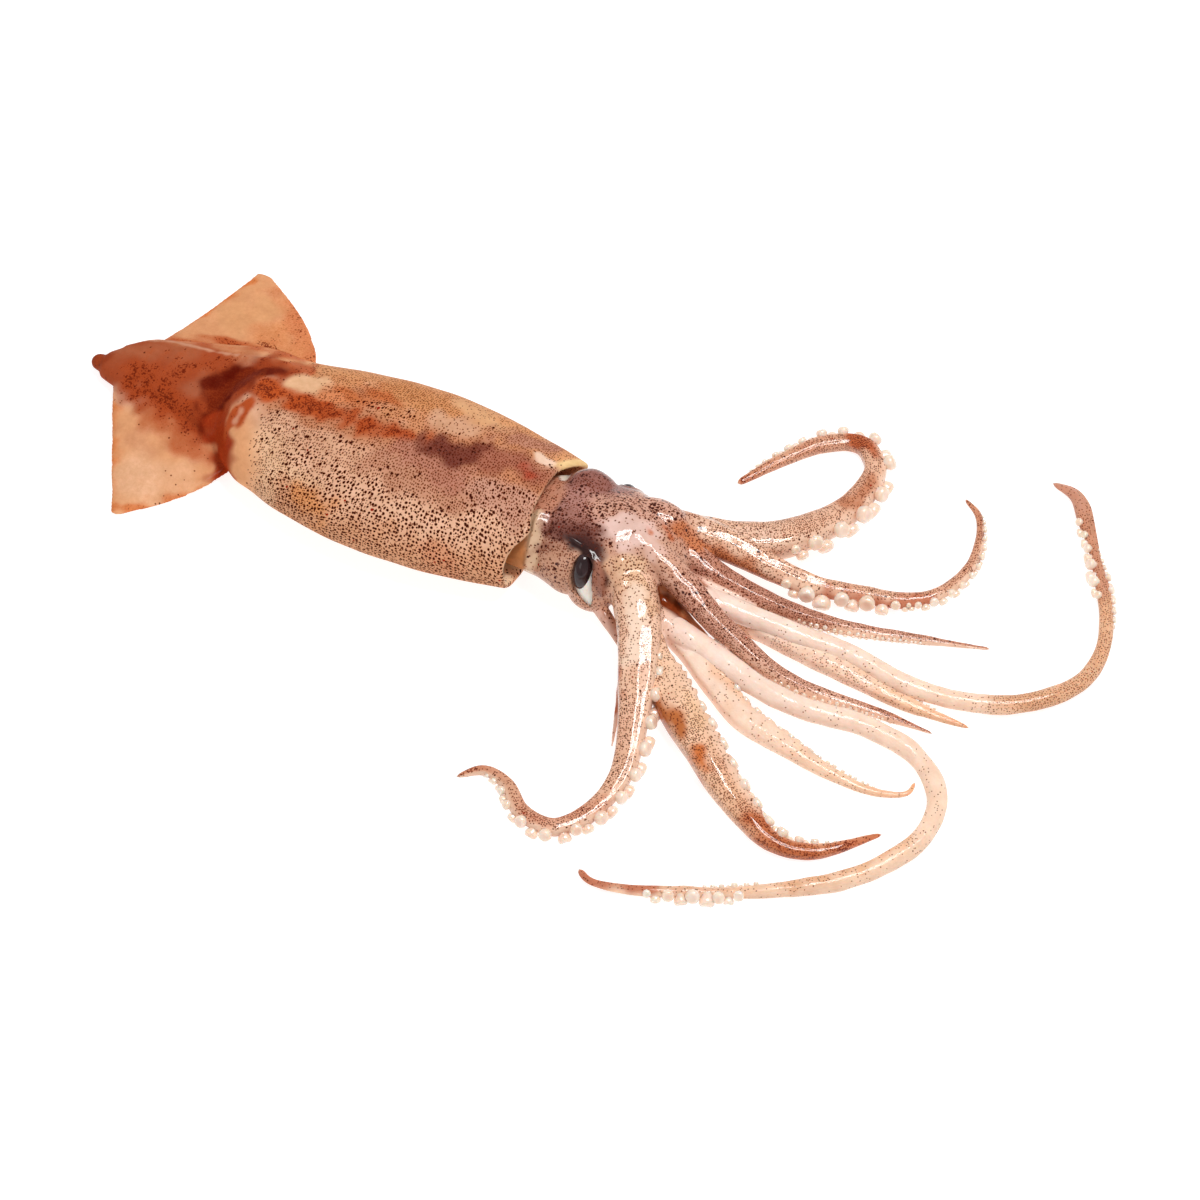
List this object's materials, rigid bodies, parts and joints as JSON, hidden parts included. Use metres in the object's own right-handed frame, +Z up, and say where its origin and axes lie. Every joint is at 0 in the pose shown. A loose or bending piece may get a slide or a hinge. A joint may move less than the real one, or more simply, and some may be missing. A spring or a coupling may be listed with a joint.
{
  "type": "whole raw squid",
  "caption": "Whole raw squid lying on its belly: slack spotted mantle with two tail fins, head with dark eyes, and spread arms and long tentacles with suckers.",
  "frame": {"origin": "middle of the squid's bounding box at table level", "axes": "+X along the mantle from the tail towards the arms, +Z up out of the back, away from the table"},
  "size_m": [0.4484, 0.2558, 0.0346],
  "materials": {
    "skin": "wet translucent skin, cream pink with dark brown pigment spots and rust patches",
    "eye": "wet black gloss"
  },
  "bodies": {
    "root": {"squid": "skin", "eye_far": "eye", "eye_near": "eye"}
  },
  "joints": []
}
